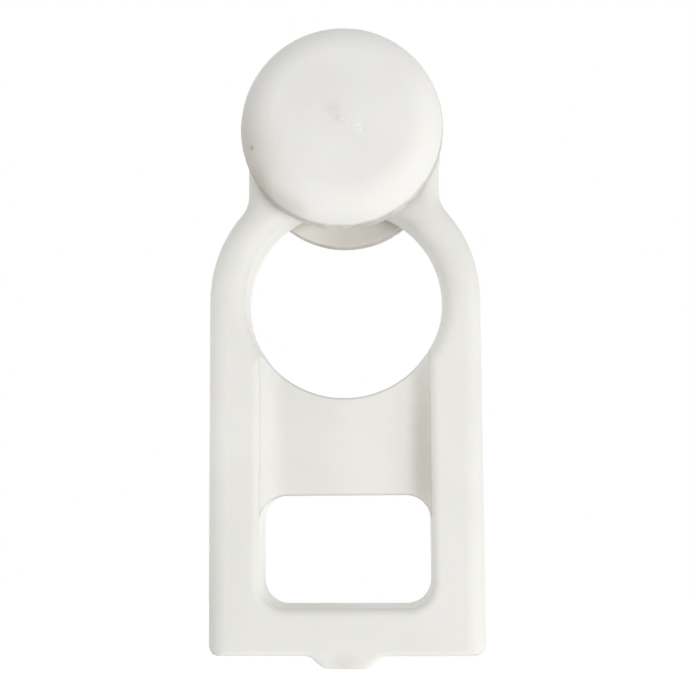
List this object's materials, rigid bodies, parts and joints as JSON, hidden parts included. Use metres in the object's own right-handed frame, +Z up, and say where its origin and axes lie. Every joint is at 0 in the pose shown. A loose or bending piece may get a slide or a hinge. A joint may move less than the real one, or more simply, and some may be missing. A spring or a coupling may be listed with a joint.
{
  "type": "curtain track glider",
  "caption": "Moulded plastic curtain track glider: a flat hanger with a round ring and a rectangular hook eye, hung from domed wheels that run on a channel track's lips.",
  "frame": {"origin": "on the track's lips, half way between the two wheels and straight below their axle", "axes": "+X along the track, +Y across it from the front wheel to the rear wheel, +Z up towards the wheels"},
  "size_m": [0.0138, 0.0084, 0.0317],
  "materials": {
    "frame_plastic": "satin moulded, off-white",
    "wheel_plastic": "satin moulded, off-white"
  },
  "bodies": {
    "frame": {"glider_frame": "frame_plastic"},
    "front_wheel": {"front_wheel": "wheel_plastic"},
    "rear_wheel": {"rear_wheel": "wheel_plastic"}
  },
  "joints": [
    {"name": "front_wheel_spin", "type": "hinge", "parent": "frame", "child": "front_wheel", "pos_m": [0, -0.0023, 0.00505], "axis": [0, 1, 0], "continuous": true},
    {"name": "rear_wheel_spin", "type": "hinge", "parent": "frame", "child": "rear_wheel", "pos_m": [0, 0.0023, 0.00505], "axis": [0, 1, 0], "continuous": true}
  ]
}
